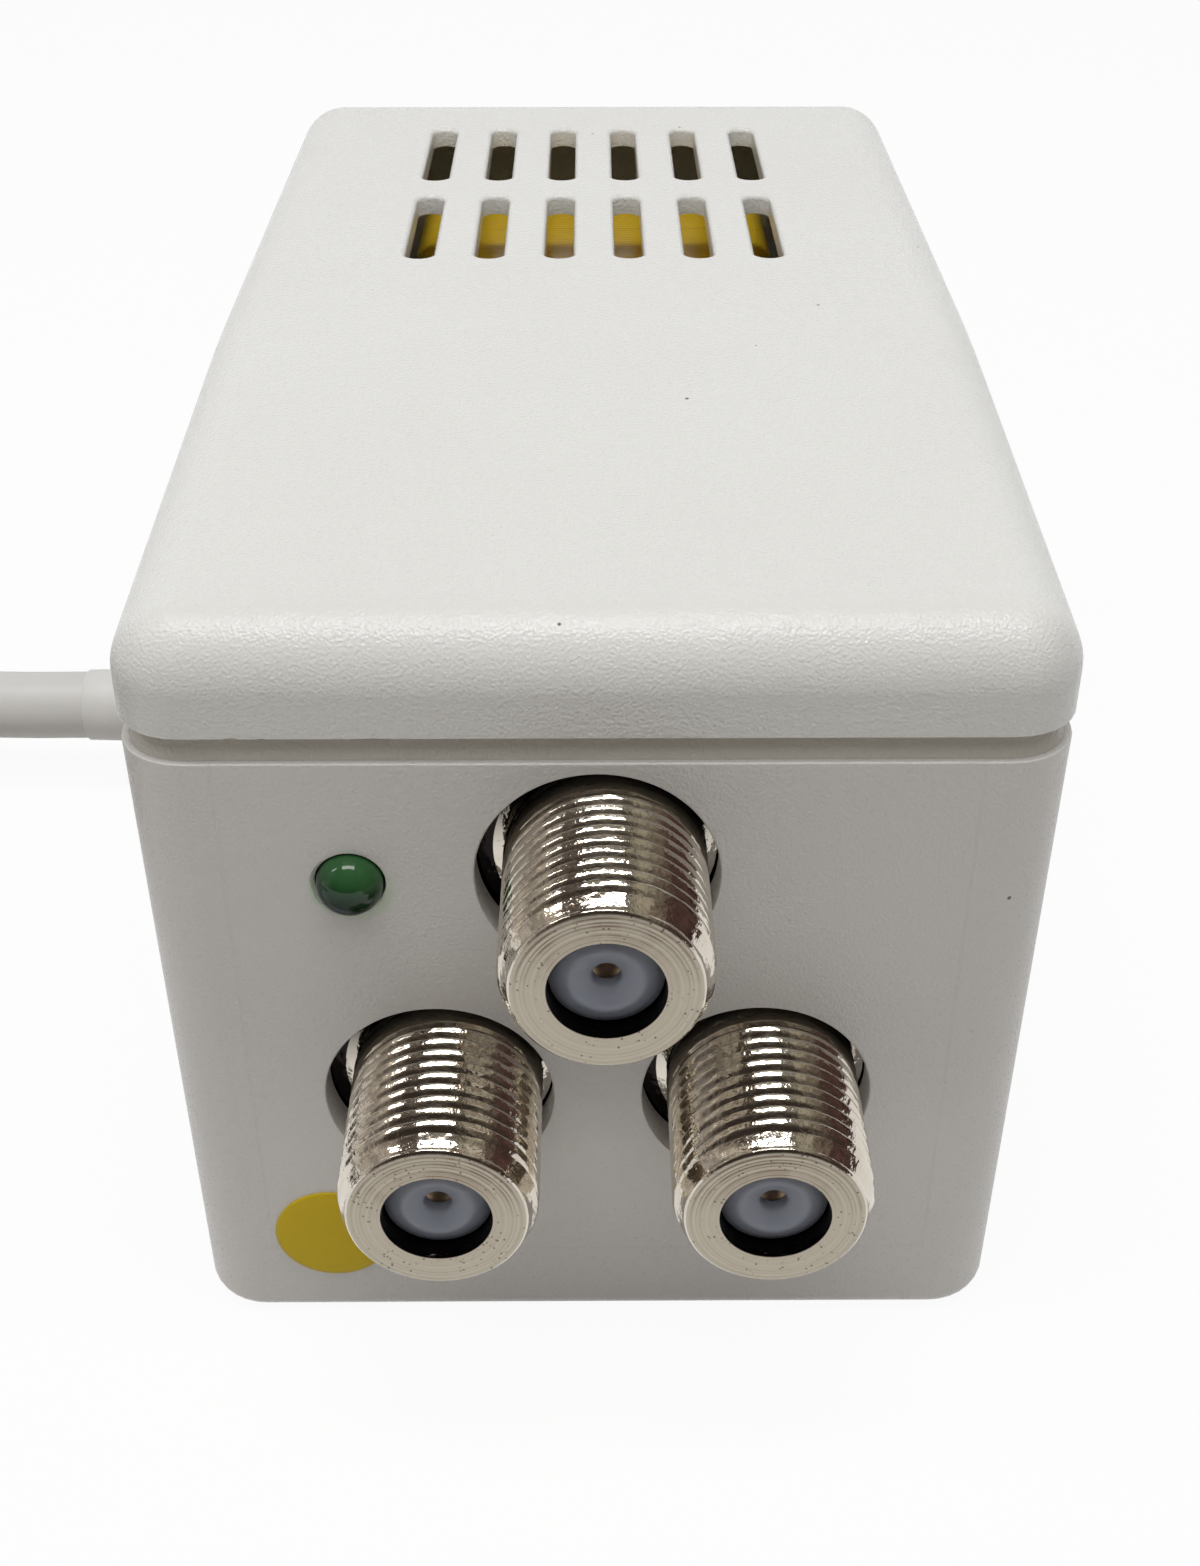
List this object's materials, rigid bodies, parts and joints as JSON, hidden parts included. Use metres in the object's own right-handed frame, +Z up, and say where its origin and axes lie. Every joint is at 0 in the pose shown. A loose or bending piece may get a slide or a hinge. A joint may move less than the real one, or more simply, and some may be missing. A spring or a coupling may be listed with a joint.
{
  "type": "tv signal amplifier",
  "caption": "Small boxed aerial amplifier and splitter with a mains supply inside: vented push-fit cover, threaded coaxial sockets and a lamp on the front, cord and plug at the side.",
  "frame": {"origin": "middle of the underside of the box and its sockets, cord left out, on the surface it stands on", "axes": "+Z up, -Y out of the front panel with the sockets, +X to the right seen from the front"},
  "size_m": [0.1623, 0.1262, 0.0439],
  "materials": {
    "white_abs": "fine grain, off-white",
    "cover_abs": "fine sparkle grain, white",
    "sticker": "plain yellow paper",
    "pcb_green": "solder mask",
    "pcb_brown": "bare paper laminate",
    "nickel": "dull nickel plate",
    "insulator": "translucent grey",
    "contact": "tinned brass",
    "lamp": "clear tinted green",
    "tinned_wire": "tinned",
    "black_epoxy": "moulded",
    "ferrite": "matt",
    "enamel_wire": "enamelled",
    "ceramic_tan": "fired",
    "iron_plate": "varnished plates",
    "bobbin": "moulded",
    "yellow_tape": "polyester tape over copper winding",
    "fuse_body": "ceramic",
    "can_sleeve": "shrink sleeve",
    "ceramic_orange": "dipped",
    "live_brown": "insulation",
    "neutral_blue": "insulation",
    "wire_red": "insulation",
    "wire_black": "insulation",
    "cord_white": "smooth white sheath",
    "tie_black": "nylon"
  },
  "bodies": {
    "case": {"base_case": "white_abs", "front_sticker": "sticker", "rf_board": "pcb_green", "input_connector_shell": "nickel", "left_output_shell": "nickel", "right_output_shell": "nickel", "input_insulator": "insulator", "left_output_insulator": "insulator", "right_output_insulator": "insulator", "input_contact": "contact", "left_output_contact": "contact", "right_output_contact": "contact", "power_led": "lamp", "led_leads": "tinned_wire", "rf_transistors": "black_epoxy", "splitter_core": "ferrite", "splitter_wire": "enamel_wire", "rf_chip_capacitors": "ceramic_tan", "rf_chip_resistors": "black_epoxy", "rf_choke": "ferrite", "power_board": "pcb_brown", "board_screws": "tinned_wire", "transformer_core": "iron_plate", "transformer_bobbin": "bobbin", "winding_tape": "yellow_tape", "transformer_pins": "tinned_wire", "rectifier_diodes": "black_epoxy", "mains_fuse": "fuse_body", "smoothing_capacitor": "can_sleeve", "output_capacitor": "can_sleeve", "voltage_regulator": "black_epoxy", "ceramic_capacitors": "ceramic_orange", "live_wire": "live_brown", "neutral_wire": "neutral_blue", "red_supply_wire": "wire_red", "black_supply_wire": "wire_black", "cord_bush": "cord_white", "mains_cord": "cord_white", "cord_coil": "cord_white", "coil_tie": "tie_black", "plug_body": "cord_white", "plug_pins": "tinned_wire"},
    "cover": {"top_cover": "cover_abs"}
  },
  "joints": [
    {"name": "cover_lift", "type": "slide", "parent": "case", "child": "cover", "axis": [0, 0, 1], "range_m": [0, 0.06]}
  ]
}
